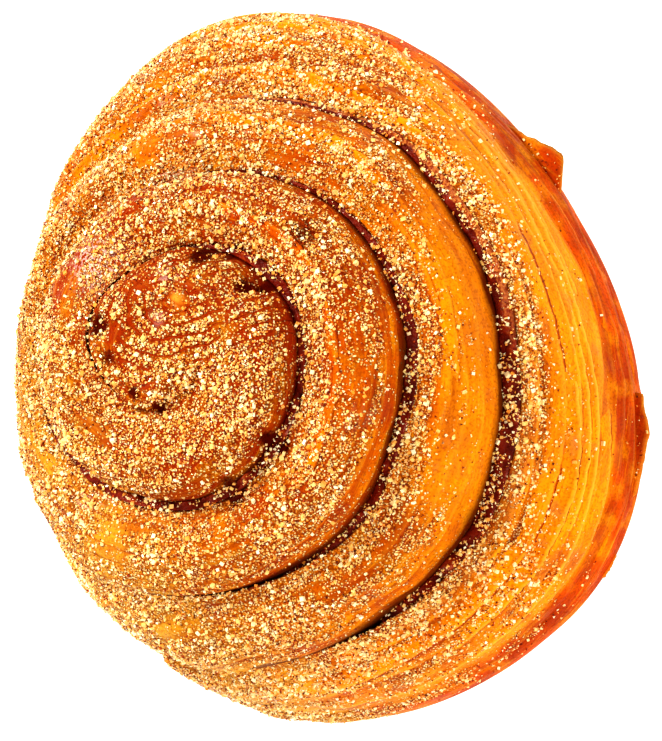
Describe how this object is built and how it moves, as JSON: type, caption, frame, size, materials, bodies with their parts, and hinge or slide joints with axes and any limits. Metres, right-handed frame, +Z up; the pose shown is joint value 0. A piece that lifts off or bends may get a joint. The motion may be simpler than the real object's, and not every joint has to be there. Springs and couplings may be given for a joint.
{
  "type": "cinnamon puff pastry roll",
  "caption": "Round roll of laminated pastry wound in a spiral round a cinnamon filling, baked golden and sprinkled with coarse sugar; rests on its flat cut underside.",
  "frame": {"origin": "on the surface the roll rests on, under the middle of its outline", "axes": "+Z up along the spiral's axis, -Y towards the side where whole turns of the spiral lie, +X along the longest side of the outline"},
  "size_m": [0.107, 0.0998, 0.0544],
  "materials": {
    "pastry_dough": "baked laminated dough, golden to deep orange-brown, satin, dusted with coarse pale sugar and cinnamon",
    "cinnamon_filling": "sticky dark red-brown cinnamon sugar filling"
  },
  "bodies": {
    "root": {"pastry_dough": "pastry_dough", "cinnamon_filling": "cinnamon_filling"}
  },
  "joints": []
}
